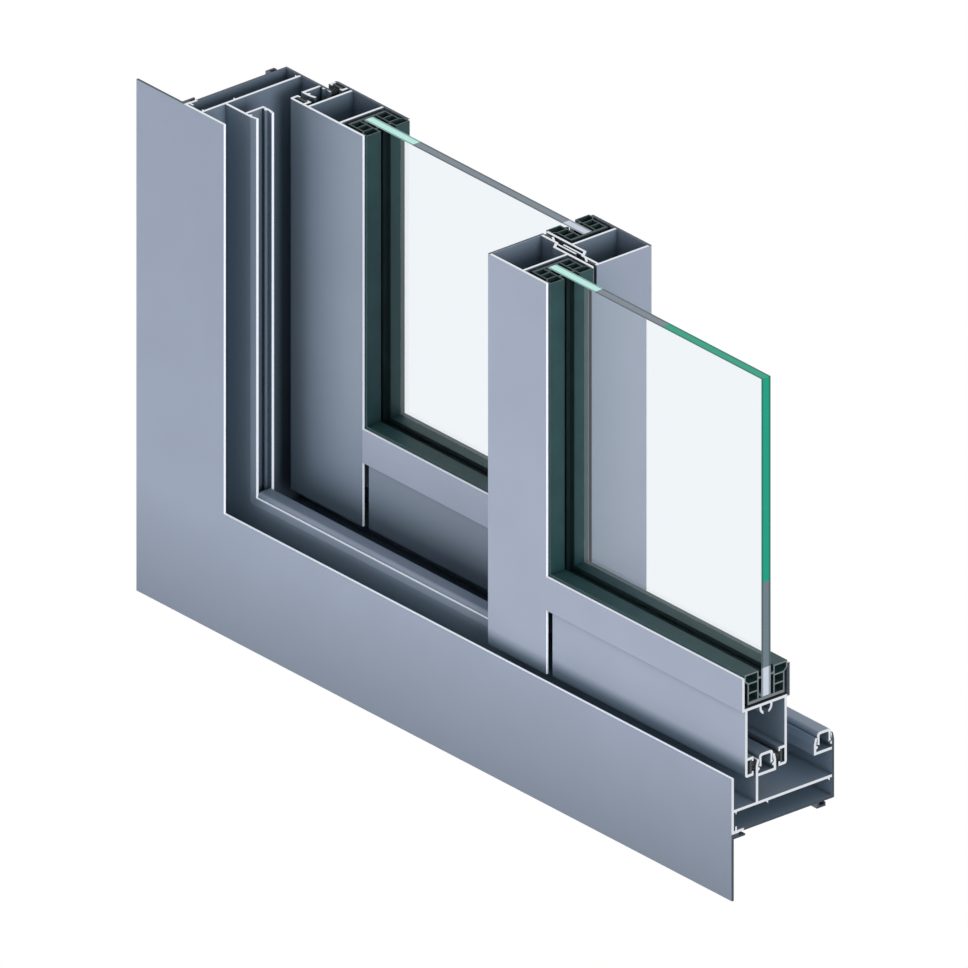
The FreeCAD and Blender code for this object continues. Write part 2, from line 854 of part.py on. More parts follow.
def glass_pane(name, centre, left, right):
    body = new_body(name)
    bottom = rail_wall_end + S.gasket_overhang - S.gasket_depth + S.glass_seat
    sketch = new_sketch(body, "profile", "XY_Plane", bottom)
    half = S.glass_thickness / 2
    low = centre - half
    high = centre + half
    draw_outline(sketch, [(left, low), (right, low), (right, high), (left, high)])
    pad(body, sketch, S.cut_height - bottom)
    set_in_place(body)
    return body


# Brush seals

def brush_outline(centre, side, wall_inner):
    """A brush in a leg's slot, as (across, along the leg), its pile reaching to the rail head."""

    def at(half, up):
        return centre + half * side, up

    mouth = wall_inner - S.lip_reach
    back = mouth + S.lip_return + S.brush_backing + S.brush_fit
    face = back - S.brush_backing
    tip = rail_half + S.brush_fit
    slot_low = sash_start + S.wall + S.brush_fit
    slot_high = slot_low + S.brush_slot - S.brush_fit * 2
    pile_low = (slot_low + slot_high - S.brush_pile) / 2
    pile_high = pile_low + S.brush_pile
    return [
        at(back, slot_low),
        at(back, slot_high),
        at(face, slot_high),
        at(face, pile_high),
        at(tip, pile_high),
        at(tip, pile_low),
        at(face, pile_low),
        at(face, slot_low),
    ]


def rail_brush(name, centre, side, start, end):
    """A brush along a bottom rail."""
    body = new_body(name)
    sketch = new_sketch(body, "profile", "YZ_Plane", start)
    draw_outline(sketch, brush_outline(centre, side, sash_inner_half - S.rail_setback))
    pad(body, sketch, end - start)
    set_in_place(body)
    return body


def stile_brush(name, centre, side):
    """A brush up the jamb stile."""
    body = new_body(name)
    sketch = new_sketch(body, "profile", "XY_Plane", stile_start)
    draw_outline(sketch, swap(brush_outline(centre, side, sash_inner_half)))
    pad(body, sketch, S.cut_height - stile_start)
    set_in_place(body)
    return body


def meeting_brush(name):
    """The brush beside the interlock, held between the barb and the lip of the stile's edge."""
    body = new_body(name)
    base = S.front_rail + sash_half + S.bulge + S.brush_fit
    far = S.front_rail + S.rail_spacing - sash_half - S.brush_fit
    left = S.meeting_left + S.wall + S.brush_fit
    right = left + S.meeting_brush_width
    middle = (left + right) / 2
    pile_left = middle - S.brush_pile / 2
    pile_right = middle + S.brush_pile / 2
    face = base + S.brush_backing
    sketch = new_sketch(body, "profile", "XY_Plane", stile_start)
    draw_outline(sketch, [
        (left, base),
        (right, base),
        (right, face),
        (pile_right, face),
        (pile_right, far),
        (pile_left, far),
        (pile_left, face),
        (left, face),
    ])
    pad(body, sketch, S.cut_height - stile_start)
    return body


# Rollers

def roller_housing(name, centre, start):
    """A hat-shaped steel carriage that stands on the lips of the bottom rail."""
    body = new_body(name)
    seat = sash_start + S.wall * 2 + S.brush_slot + S.running_gap
    foot = sash_half - S.rail_setback - S.wall - S.joint_clearance
    outer = S.housing_width / 2
    inner = outer - S.housing_sheet
    top = axle_height + S.wheel_radius + S.housing_clearance + S.housing_sheet
    half = [
        (outer, top),
        (outer, seat + S.housing_sheet),
        (foot, seat + S.housing_sheet),
        (foot, seat),
        (inner, seat),
        (inner, top - S.housing_sheet),
    ]
    right = [(centre + across, up) for across, up in half]
    left = [(centre - across, up) for across, up in half]
    profile = new_sketch(body, "profile", "YZ_Plane", start)
    draw_outline(profile, right + left[::-1])
    pad(body, profile, S.housing_length)
    doc.recompute()
    axle = new_sketch(body, "axle_hole", "XZ_Plane")
    middle = (start + S.housing_length / 2, axle_height)
    add_circle(axle, middle, S.axle_radius + S.running_gap)
    cut_through(body, axle)
    set_in_place(body)
    return body


def roller_wheel(name, centre, start):
    """A wheel on its axle, turned about the axle's line."""
    body = new_body(name)
    half = S.wheel_width / 2
    axle_half = S.housing_width / 2 + S.housing_sheet / 2
    rim = S.wheel_radius - S.wheel_chamfer
    sketch = new_sketch(body, "profile", "XY_Plane")
    draw_outline(sketch, [
        (ZERO, ZERO - axle_half),
        (S.axle_radius, ZERO - axle_half),
        (S.axle_radius, ZERO - half),
        (rim, ZERO - half),
        (S.wheel_radius, S.wheel_chamfer - half),
        (S.wheel_radius, half - S.wheel_chamfer),
        (rim, half),
        (S.axle_radius, half),
        (S.axle_radius, axle_half),
        (ZERO, axle_half),
    ])
    turned_part = body.newObject("PartDesign::Revolution", f"{name}_turned")
    turned_part.Profile = sketch
    turned_part.ReferenceAxis = (sketch, ["V_Axis"])
    turned_part.Angle = 360
    place = (
        start + S.housing_length / 2 - reveal,
        centre - S.wall,
        axle_height - reveal,
    )
    for axis, shift in zip("xyz", place):
        body.setExpression(f"Placement.Base.{axis}", shift.text)
    return body


# The frame corner
parts = [
    frame_piece("frame_sill", upright=False),
    frame_piece("frame_jamb", upright=True),
    corner_cleat("frame_corner_cleat"),
    rail_cap("front_rail_cap", S.front_rail),
    rail_cap("rear_rail_cap", rear_rail),
]

# The front sash, which hooks into the rear one at its left and is cut at its right
front = S.front_rail
front_stile = meeting_stile("front_sash_meeting_stile")
set_in_place(front_stile)
front_brush = meeting_brush("front_meeting_brush")
set_in_place(front_brush)
gasket_base = meeting_right + S.gasket_overhang - S.gasket_depth
front_rail_start = meeting_right + S.corner_slot
front_roller = front_rail_start + S.roller_inset
parts += [
    front_stile,
    front_brush,
    bottom_rail("front_sash_bottom_rail", front, meeting_right, S.cut_length, meeting_floor, None),
    glass_pane("front_sash_glass", front, gasket_base + S.glass_seat, S.cut_length),
    upright_gasket("front_sash_side_gasket", front, meeting_right, 1),
    bottom_gasket("front_sash_bottom_gasket", front, [(meeting_right, 1)]),
    rail_brush("front_sash_outer_brush", front, -1, front_rail_start, S.cut_length),
    rail_brush("front_sash_inner_brush", front, 1, front_rail_start, S.cut_length),
    roller_housing("front_sash_roller_housing", front, front_roller),
    roller_wheel("front_sash_roller_wheel", front, front_roller),
]

# The rear sash, whose left stile closes over the jamb
rear_stile = meeting_stile("rear_sash_meeting_stile")
set_half_round(rear_stile)
rear_brush = meeting_brush("rear_meeting_brush")
set_half_round(rear_brush)
left_base = jamb_stile_right + S.gasket_overhang - S.gasket_depth
right_base = rear_meeting_left - S.gasket_overhang + S.gasket_depth
rear_rail_start = jamb_stile_right + S.corner_slot
rear_rail_end = rear_meeting_left - S.corner_slot
rear_pane = (left_base + S.glass_seat, right_base - S.glass_seat)
rollers = {
    "left": rear_rail_start + S.roller_inset,
    "right": rear_rail_end - S.roller_inset - S.housing_length,
}
parts += [
    rear_stile,
    rear_brush,
    jamb_stile("rear_sash_jamb_stile", rear_rail),
    bottom_rail("rear_sash_bottom_rail", rear_rail, jamb_stile_right, rear_meeting_left,
                pocket_floor, rear_meeting_floor),
    glass_pane("rear_sash_glass", rear_rail, *rear_pane),
    upright_gasket("rear_sash_left_gasket", rear_rail, jamb_stile_right, 1),
    upright_gasket("rear_sash_right_gasket", rear_rail, rear_meeting_left, -1),
    bottom_gasket("rear_sash_bottom_gasket", rear_rail,
                  [(jamb_stile_right, 1), (rear_meeting_left, -1)]),
    rail_brush("rear_sash_outer_brush", rear_rail, -1, rear_rail_start, rear_rail_end),
    rail_brush("rear_sash_inner_brush", rear_rail, 1, rear_rail_start, rear_rail_end),
    stile_brush("jamb_outer_brush", rear_rail, -1),
    stile_brush("jamb_inner_brush", rear_rail, 1),
]
for side, start in rollers.items():
    parts.append(roller_housing(f"rear_sash_{side}_roller_housing", rear_rail, start))
    parts.append(roller_wheel(f"rear_sash_{side}_roller_wheel", rear_rail, start))

doc.recompute()
for item in doc.Objects:
    if "Invalid" in item.State or "Error" in item.State:
        raise RuntimeError(f"{item.Label} failed: {item.State}")
for body in parts:
    if body.Shape.isNull() or not body.Shape.isValid():
        raise RuntimeError(f"{body.Label} has no valid shape")

os.makedirs("parts", exist_ok=True)
for body in parts:
    body.Shape.exportStep(f"parts/{body.Label}.step")
    box = body.Shape.BoundBox
    solids = len(body.Shape.Solids)
    print(f"{body.Label}: {solids} solid, {body.Shape.Volume / 1000:.2f} cm3,"
          f" x {box.XMin:.1f} to {box.XMax:.1f}, y {box.YMin:.1f} to {box.YMax:.1f},"
          f" z {box.ZMin:.1f} to {box.ZMax:.1f}")
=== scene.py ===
# %% [markdown]
# # Corner section of an aluminium sliding window
# The object is a sawn-off sample of a two-track window: the lower left corner of the frame, a
# rear sash that closes over the jamb, and a front sash that hooks into it. The shapes come from
# the construction model, because an extrusion is a drawn section pushed to a length, and a CAD
# program holds that exactly. This script gives those shapes their finishes, makes the brush
# seals bristle by bristle, and sets light and camera.

# %% Load the frame
import math

import bpy
from mathutils import Matrix, Vector


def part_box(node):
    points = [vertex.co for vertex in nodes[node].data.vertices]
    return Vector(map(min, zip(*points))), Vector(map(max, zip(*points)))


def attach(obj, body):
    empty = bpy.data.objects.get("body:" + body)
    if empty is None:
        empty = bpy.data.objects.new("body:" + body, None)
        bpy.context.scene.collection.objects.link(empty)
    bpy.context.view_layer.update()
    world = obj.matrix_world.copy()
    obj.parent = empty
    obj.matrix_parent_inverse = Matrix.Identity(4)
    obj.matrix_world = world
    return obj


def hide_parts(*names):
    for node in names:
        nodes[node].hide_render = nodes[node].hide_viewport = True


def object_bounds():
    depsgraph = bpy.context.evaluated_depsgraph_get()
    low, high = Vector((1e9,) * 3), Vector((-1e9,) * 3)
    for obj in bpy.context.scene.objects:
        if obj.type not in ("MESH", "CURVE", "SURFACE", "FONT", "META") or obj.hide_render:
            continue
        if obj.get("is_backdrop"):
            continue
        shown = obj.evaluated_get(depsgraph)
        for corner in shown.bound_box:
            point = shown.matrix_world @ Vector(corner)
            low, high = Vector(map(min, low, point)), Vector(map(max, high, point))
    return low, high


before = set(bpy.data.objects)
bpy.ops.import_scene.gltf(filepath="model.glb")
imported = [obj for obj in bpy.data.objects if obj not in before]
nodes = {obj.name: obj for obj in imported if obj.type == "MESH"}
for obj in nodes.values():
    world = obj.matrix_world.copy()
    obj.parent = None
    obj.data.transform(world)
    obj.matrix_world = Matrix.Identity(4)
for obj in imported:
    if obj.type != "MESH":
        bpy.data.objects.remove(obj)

cad_low, cad_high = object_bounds()
MM = 0.001
X, Y, Z = range(3)
print(f"{len(nodes)} pieces, box {tuple(round(v, 4) for v in cad_high - cad_low)} m")

# %% [markdown]
# ## Helpers
# Colours are written as the sRGB hex values that a colour picker shows, but shaders count in
# linear light, so one function turns them. Another adds a node with its settings and fills its
# inputs, which keeps each material short enough to read from top to bottom. The last one puts a
# finished material on pieces. The Mix node has sockets for each type of data under the same
# names, so the numbers of those for colours and for plain numbers are named here.

# %% Colours, nodes and materials
COLOUR_A, COLOUR_B, MIXED_COLOUR = 6, 7, 2
NUMBER_A, NUMBER_B, MIXED_NUMBER = 2, 3, 0


def colour(text):
    """An sRGB hex colour as linear red, green, blue and alpha."""
    parts = [int(text[i:i + 2], 16) / 255 for i in (1, 3, 5)]
    return (*[c / 12.92 if c <= 0.04045 else ((c + 0.055) / 1.055) ** 2.4 for c in parts], 1.0)


def fill(tree, node, inputs):
    """Fill a node's inputs, each from another node's socket, a hex colour or a plain value."""
    for key, value in inputs.items():
        if isinstance(value, bpy.types.NodeSocket):
            tree.links.new(value, node.inputs[key])
        else:
            node.inputs[key].default_value = colour(value) if isinstance(value, str) else value


def add(tree, kind, inputs=None, **settings):
    """Add a node with its settings and fill its inputs."""
    made = tree.nodes.new(kind)
    for name, value in settings.items():
        setattr(made, name, value)
    fill(tree, made, inputs or {})
    return made


def new_material(name):
    """A material with its tree and the shader in it."""
    material = bpy.data.materials.new(name)
    material.use_nodes = True
    return material, material.node_tree, material.node_tree.nodes["Principled BSDF"]


def finish_with(material, names):
    """Put one material on the CAD pieces of these names."""
    for name in names:
        mesh = nodes[name].data
        mesh.materials.clear()
        mesh.materials.append(material)
    print(f"{material.name}: {', '.join(names)}")


# %% [markdown]
# ## Masks
# Most pieces here have two finishes: a skin, and bare faces where the sample was sawn. Painting
# the ends as separate pieces would double the model, so a material looks at where a face is and
# which way it points. Each such test gives a mask, a number that is 1 on those faces and 0 on
# the others, and masks combine: the smaller of two numbers is "both", the larger "either".

# %% Masks by place and direction
BELOW, ABOVE, AT = "LESS_THAN", "GREATER_THAN", "COMPARE"
NEAR = 0.3 * MM
CUT_DEPTH = 0.2 * MM
FACING = 0.9


def read_surface(tree):
    """Where a point is, as one vector and as X, Y and Z, and which way its face looks."""
    place = add(tree, "ShaderNodeTexCoord").outputs["Object"]
    facing = add(tree, "ShaderNodeNewGeometry").outputs["Normal"]
    spot = add(tree, "ShaderNodeSeparateXYZ", {0: place}).outputs
    looks = add(tree, "ShaderNodeSeparateXYZ", {0: facing}).outputs
    return place, spot, looks


def any_of(tree, masks):
    """A mask that is 1 where at least one of these masks is."""
    joined = 0.0
    for mask in masks:
        joined = add(tree, "ShaderNodeMath", {0: joined, 1: mask}, operation="MAXIMUM").outputs[0]
    return joined


def all_of(tree, tests):
    """A mask that is 1 where all tests hold. A test is a number, BELOW, ABOVE or AT, a limit."""
    joined = 1.0
    for number, test, limit in tests:
        mask = add(tree, "ShaderNodeMath", {0: number, 1: limit, 2: NEAR},
                   operation=test).outputs[0]
        joined = add(tree, "ShaderNodeMath", {0: joined, 1: mask}, operation="MINIMUM").outputs[0]
    return joined


def sawn_mask(tree, spot, looks, axis):
    """The faces in the cut plane of an axis that look along it."""
    return all_of(tree, [(spot[axis], ABOVE, cad_high[axis] - CUT_DEPTH),
                         (looks[axis], ABOVE, FACING)])


print(f"cut planes at X {cad_high.x:.4f} m and Z {cad_high.z:.4f} m")

# %% [markdown]
# ## Powder-coated aluminium with sawn ends
# The extrusions are 6060 aluminium under a satin blue-grey powder coat about 0.07 mm thick.
# First comes the coat's colour. It is faintly cloudy, and it is painted darker towards its foot, and
# on the rear rail below its step, as shade. Grooves and slots let little light in, so they get
# painted shade too. Painting each of them by place would take dozens of masks, so two Ambient
# Occlusion nodes find them: one feels for walls as far off as a groove is wide, and one for what
# lies as close as in a slot.

# %% The colour of the coat
CLOUD = 40 * MM
GROOVE = 45 * MM
GROOVE_CONTRAST = 1.3
# Painted shade: lighter in grooves, nearly black in slots.
GROOVE_SHADE = "#6B8193"
SLOT = 7 * MM
SLOT_SHADE = "#14171A"


def coat_colour(tree, place, height, coat, painted_shade):
    """The coat's colour with its painted shade, and how open each point of it is.

    The coat is two tones. The painted shade is the height where it is darkest, the height where it
    ends, and its colour."""
    foot, top, shade_colour = painted_shade
    clouds = add(tree, "ShaderNodeTexNoise", {"Vector": place, "Scale": 1 / CLOUD,
                                              "Detail": 2.0}).outputs["Fac"]
    paint = add(tree, "ShaderNodeMix", {"Factor": clouds, COLOUR_A: coat[0], COLOUR_B: coat[1]},
                data_type="RGBA").outputs[MIXED_COLOUR]
    # Painted shade towards the foot, or below a step.
    shade_share = add(tree, "ShaderNodeMapRange", {"Value": height, "From Min": foot,
                                              "From Max": top}).outputs[0]
    paint = add(tree, "ShaderNodeMix", {"Factor": shade_share, COLOUR_A: shade_colour, COLOUR_B: paint},
                data_type="RGBA").outputs[MIXED_COLOUR]
    # Painted shade where nearby walls close the coat in.
    openness = add(tree, "ShaderNodeAmbientOcclusion", {"Distance": GROOVE},
                   samples=6).outputs["AO"]
    unshaded = add(tree, "ShaderNodeMath", {0: openness, 1: GROOVE_CONTRAST},
               operation="POWER").outputs[0]
    paint = add(tree, "ShaderNodeMix", {"Factor": unshaded, COLOUR_A: GROOVE_SHADE, COLOUR_B: paint},
                data_type="RGBA").outputs[MIXED_COLOUR]
    beside = add(tree, "ShaderNodeAmbientOcclusion", {"Distance": SLOT}, samples=4).outputs["AO"]
    slot_unshaded = add(tree, "ShaderNodeMapRange", {"Value": beside, "From Min": 0.1,
                                             "From Max": 0.7}).outputs[0]
    paint = add(tree, "ShaderNodeMix", {"Factor": slot_unshaded, COLOUR_A: SLOT_SHADE, COLOUR_B: paint},
                data_type="RGBA").outputs[MIXED_COLOUR]
    return paint, openness


# %% [markdown]
# Next is what the surface does to light. The eye reads a soft sheen, a faint orange peel some
# 1.5 mm across, and very fine lines along the bar where the die drew the metal. A sawn end has
# the marks of the blade instead. All of them are far too shallow to model, so they are bump, and
# the die lines change the roughness a little as well.

# %% Orange peel, die lines and saw marks
PEEL = 1.5 * MM
DIE_LINE = 0.35 * MM
DIE_RUN = 60 * MM
SAW_LINE = 0.5 * MM
# At scale 1 the Wave texture has a band every 0.314 units.
WAVE_BAND = 0.314
RELIEF = 0.05 * MM
SAWN_ROUGHNESS = 0.3


def coat_relief(tree, place, axis, sawn):
    """The bumps and the roughness of a bar along an axis, with its sawn faces."""
    peel = add(tree, "ShaderNodeTexNoise", {"Vector": place, "Scale": 1 / PEEL,
                                            "Detail": 1.0}).outputs["Fac"]
    stretch = [1 / DIE_LINE] * 3
    stretch[axis] = 1 / DIE_RUN
    drawn = add(tree, "ShaderNodeMapping", {"Vector": place, "Scale": stretch}).outputs[0]
    lines = add(tree, "ShaderNodeTexNoise", {"Vector": drawn, "Scale": 1.0}).outputs["Fac"]
    skin = add(tree, "ShaderNodeMath", {0: lines, 1: 0.4, 2: peel},
               operation="MULTIPLY_ADD").outputs[0]
    saw = add(tree, "ShaderNodeTexWave", {"Vector": place, "Scale": WAVE_BAND / SAW_LINE,
                                          "Distortion": 2.0, "Detail Scale": 8.0},
              bands_direction="DIAGONAL").outputs["Fac"]
    relief = add(tree, "ShaderNodeMix", {"Factor": sawn, NUMBER_A: skin,
                                         NUMBER_B: saw}).outputs[MIXED_NUMBER]
    bump = add(tree, "ShaderNodeBump", {"Height": relief, "Strength": 0.12,
                                        "Distance": RELIEF}).outputs[0]
    satin = add(tree, "ShaderNodeMapRange", {"Value": lines, "To Min": 0.36,
                                             "To Max": 0.46}).outputs[0]
    rough = add(tree, "ShaderNodeMix", {"Factor": sawn, NUMBER_A: satin,
                                        NUMBER_B: SAWN_ROUGHNESS}).outputs[MIXED_NUMBER]
    return bump, rough


# %% [markdown]
# A bar's material puts these together. Its sawn end is bare metal: bright, with painted shade on the
# far walls of the section. A thin edge, where a wall of the section ends, gets a painted highlight
# and a little painted glow, as far back as given for it and where it isn't deep in a groove.

# %% Coated and sawn aluminium
# Bare sawn metal, with painted shade on the far walls.
SAWN, SAWN_FAR_SHADE = "#E1E6EB", "#4A525C"
# A painted highlight on thin edges, with a painted glow.
EDGE_HIGHLIGHT = "#F2F6FF"
EDGE_GLOW = 0.35
THIN_EDGE = 0.6


def coated_aluminium(name, axis, coat, painted_shade, tips, far_walls):
    """Coated aluminium for a bar along an axis, X or Z, that is sawn at its far end.

    Tips are the places where a wall of the section ends, on the other of these two axes, each with
    how far back it gets a painted highlight. A far wall, which gets painted shade on the sawn end,
    is a list of (axis, test, limit)."""
    material, tree, shader = new_material(name)
    place, spot, looks = read_surface(tree)
    across = Z if axis == X else X
    sawn = sawn_mask(tree, spot, looks, axis)
    # Painted shade on the far walls of the sawn end.
    far = any_of(tree, [all_of(tree, [(spot[side], test, limit) for side, test, limit in wall])
                        for wall in far_walls])
    # Painted highlight and glow on the thin edges.
    highlit_tip = any_of(tree, [
        all_of(tree, [(spot[across], AT, tip), (spot[Y], BELOW, reach),
                      (looks[across], ABOVE, THIN_EDGE)]) for tip, reach in tips])

    paint, openness = coat_colour(tree, place, spot[Z], coat, painted_shade)
    reached = add(tree, "ShaderNodeMapRange", {"Value": openness, "From Min": 0.15,
                                               "From Max": 0.4}).outputs[0]
    painted_highlight = add(tree, "ShaderNodeMath", {0: highlit_tip, 1: reached}, operation="MULTIPLY").outputs[0]
    paint = add(tree, "ShaderNodeMix", {"Factor": painted_highlight, COLOUR_A: paint, COLOUR_B: EDGE_HIGHLIGHT},
                data_type="RGBA").outputs[MIXED_COLOUR]
    metal = add(tree, "ShaderNodeMix", {"Factor": far, COLOUR_A: SAWN, COLOUR_B: SAWN_FAR_SHADE},
                data_type="RGBA").outputs[MIXED_COLOUR]
    base = add(tree, "ShaderNodeMix", {"Factor": sawn, COLOUR_A: paint, COLOUR_B: metal},
               data_type="RGBA").outputs[MIXED_COLOUR]
    highlight_glow = add(tree, "ShaderNodeMath", {0: painted_highlight, 1: EDGE_GLOW}, operation="MULTIPLY").outputs[0]
    bump, rough = coat_relief(tree, place, axis, sawn)
    fill(tree, shader, {"Base Color": base, "Metallic": sawn, "Roughness": rough,
                        "Specular IOR Level": 0.3, "Normal": bump,
                        "Emission Color": EDGE_HIGHLIGHT, "Emission Strength": highlight_glow})
    return material


# %% [markdown]
# Seven bars share this finish, and the two rail caps take the sill's. The frame and the sashes are
# coated a tone apart, and the rear sash's jamb stile has a darker copy of the sash coat, as painted
# shade. Each bar has its own painted shade towards its foot or below its step, thin edges with a
# painted highlight and far walls with painted shade, whose places are measured on its section.

# %% Coats and dust of the bars
FRAME_COAT = ("#929DB0", "#9BA6BA")
SASH_COAT = ("#9FA9BC", "#A9B3C7")
# A darker copy of the sash coat, painted shade for the rear sash's jamb stile.
SHADED_STILE_COAT = ("#8C98AA", "#95A1B3")
SASH_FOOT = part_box("front_sash_bottom_rail")[0].z
RAIL_STEP = SASH_FOOT + 36.9 * MM
STEP_EDGE = 0.3 * MM
# Painted shade: darker towards a bar's foot, and on the rear rail below its step.
FRAME_FOOT_SHADE = (cad_low.z, 30 * MM, "#7A8596")
SASH_FOOT_SHADE = (SASH_FOOT + 4.5 * MM, SASH_FOOT + 11 * MM, "#5F6A7A")
STILE_FOOT_SHADE = (SASH_FOOT, SASH_FOOT + 90 * MM, "#828D9F")
RAIL_STEP_SHADE = (RAIL_STEP - STEP_EDGE, RAIL_STEP, "#8A94A5")
print(f"sash foot at {SASH_FOOT:.4f} m, step in the rail at {RAIL_STEP:.4f} m")

# %% [markdown]
# On a sawn end of the frame, the far walls that get painted shade are the hook, the web behind it
# and the back. On a sash bar there is one: its back, the far wall of its glass pocket, or the left
# wall of the front stile. Each row of the table is a finish and the pieces that take it.

# %% The bars
FLANGE_EDGE = 34.1 * MM
TRACK_MIDDLE = 35 * MM
HOOK = 2.8 * MM
FAR_WEB = 4.5 * MM
WEB_START = 6.5 * MM
FRAME_BACK = 64.0 * MM
SASH_BACK = 72.8 * MM
POCKET_WALL = 1.6 * MM
POCKET_FLOOR = 69 * MM
STILE_WALL = 1.4 * MM


def frame_far_walls(across):
    """The hook, the web behind it and the back of the frame."""
    return [[(across, BELOW, HOOK)], [(across, BELOW, FAR_WEB), (Y, ABOVE, WEB_START)],
            [(Y, ABOVE, FRAME_BACK)]]


frame_tips = [(FLANGE_EDGE, TRACK_MIDDLE), (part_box("frame_sill")[1].z, TRACK_MIDDLE)]
front_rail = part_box("front_sash_bottom_rail")
front_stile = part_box("front_sash_meeting_stile")
rail_tips = [(front_rail[1].z, cad_high.y)]
pocket_wall = [(Y, ABOVE, front_rail[1].y - POCKET_WALL), (Z, ABOVE, POCKET_FLOOR)]
sash_back = [(Y, ABOVE, SASH_BACK)]
bars = {
    "sill": (X, FRAME_COAT, FRAME_FOOT_SHADE, frame_tips, frame_far_walls(Z),
             ["frame_sill", "front_rail_cap", "rear_rail_cap"]),
    "jamb": (Z, FRAME_COAT, FRAME_FOOT_SHADE, frame_tips, frame_far_walls(X), ["frame_jamb"]),
    "front_rail": (X, SASH_COAT, SASH_FOOT_SHADE, rail_tips, [pocket_wall],
                   ["front_sash_bottom_rail"]),
    "rear_rail": (X, SASH_COAT, RAIL_STEP_SHADE, rail_tips, [sash_back], ["rear_sash_bottom_rail"]),
    "jamb_stile": (Z, SHADED_STILE_COAT, STILE_FOOT_SHADE,
                   [(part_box("rear_sash_jamb_stile")[1].x, cad_high.y)], [sash_back],
                   ["rear_sash_jamb_stile"]),
    "front_stile": (Z, SASH_COAT, SASH_FOOT_SHADE, [(front_stile[1].x, cad_high.y)],
                    [[(X, BELOW, front_stile[0].x + STILE_WALL)]], ["front_sash_meeting_stile"]),
    "rear_stile": (Z, SASH_COAT, SASH_FOOT_SHADE, [], [sash_back], ["rear_sash_meeting_stile"]),
}
for bar, (axis, coat, painted_shade, tips, far_walls, pieces) in bars.items():
    finish_with(coated_aluminium(f"powder_coated_aluminium_{bar}", axis, coat, painted_shade, tips,
                                 far_walls), pieces)

# %% [markdown]
# ## EPDM gaskets
# The glazing gaskets are extruded EPDM rubber: nearly black with a green-blue cast, dull, with a
# dusty bloom in broad patches. Where the knife cut them the rubber is paler and grainier, which
# makes the three cells in each cheek easy to see. The same test of place and direction as for the
# aluminium finds the cut faces. Inside the cells, 4 mm wide, painted shade makes the rubber all but
# black.

# %% Rubber
BLOOM = 12 * MM
CELL = 4 * MM
GRAIN = 0.4 * MM
material, tree, shader = new_material("extruded_epdm_rubber")
place, spot, looks = read_surface(tree)
bloom = add(tree, "ShaderNodeTexNoise", {"Vector": place, "Scale": 1 / BLOOM,
                                         "Detail": 4.0}).outputs["Fac"]
rubber = add(tree, "ShaderNodeMix", {"Factor": bloom, COLOUR_A: "#1E3D40", COLOUR_B: "#305457"},
             data_type="RGBA").outputs[MIXED_COLOUR]
# Painted shade inside the cells, where the walls close the rubber in.
air = add(tree, "ShaderNodeAmbientOcclusion", {"Distance": CELL}, samples=4).outputs["AO"]
unshaded = add(tree, "ShaderNodeMapRange", {"Value": air, "From Max": 0.9}).outputs[0]
rubber = add(tree, "ShaderNodeMix", {"Factor": unshaded, COLOUR_A: "#0E1718", COLOUR_B: rubber},
             data_type="RGBA").outputs[MIXED_COLOUR]
for axis, grey in ((X, "#7C8082"), (Z, "#54595B")):
    cut = sawn_mask(tree, spot, looks, axis)
    rubber = add(tree, "ShaderNodeMix", {"Factor": cut, COLOUR_A: rubber, COLOUR_B: grey},
                 data_type="RGBA").outputs[MIXED_COLOUR]
grain = add(tree, "ShaderNodeTexNoise", {"Vector": place, "Scale": 1 / GRAIN,
                                         "Detail": 3.0}).outputs["Fac"]
bump = add(tree, "ShaderNodeBump", {"Height": grain, "Strength": 0.25,
                                    "Distance": 0.1 * MM}).outputs[0]
fill(tree, shader, {"Base Color": rubber, "Roughness": 0.5, "IOR": 1.5,
                    "Specular IOR Level": 0.35, "Normal": bump})
finish_with(material, [n for n in sorted(nodes) if n.endswith("_gasket")])

# %% [markdown]
# ## Float glass with ground edges
# The panes are 6 mm clear float glass. Face on, iron in the glass hardly shows, but at an edge the
# eye looks along the sheet, and a path of 100 mm and more turns it green. Real volume absorption
# would need many bounces between the two faces, so the edge gets its colours painted by place:
# painted light in mint where light comes in through the pocket, a painted grey where the dark rubber
# shows through, and deep green on the open edge. The two arrises along an edge are ground, and
# painted darker as shade.

# %% The colour of a glass edge
# Painted shade along the arrises and in the shaded grey, painted light in the mint and the pocket
# pale, and a painted grey for the dark rubber behind the edge.
ARRIS = 1.8 * MM
ARRIS_SHADE = 0.55
ARRIS_DARK = "#1F3B3A"
MINT = "#B2E2DA"
GREY = "#737C86"
GREEN = "#129377"
SHADED = "#66747D"
POCKET = "#BCC5D2"
HIDDEN = "#6E8286"


def edge_steps(tree, along, low, high, first, steps):
    """The first colour from an edge's start, then each step's colour from the step's place."""
    share = add(tree, "ShaderNodeMapRange", {"Value": along, "From Min": low,
                                             "From Max": high}).outputs[0]
    ramp = add(tree, "ShaderNodeValToRGB", {"Fac": share})
    stops = ramp.color_ramp.elements
    stops[0].color = colour(first)
    stops.remove(stops[1])
    for start, text in steps:
        stops.new((start - low) / (high - low)).color = colour(text)
    ramp.color_ramp.interpolation = "CONSTANT"
    return ramp.outputs[0]


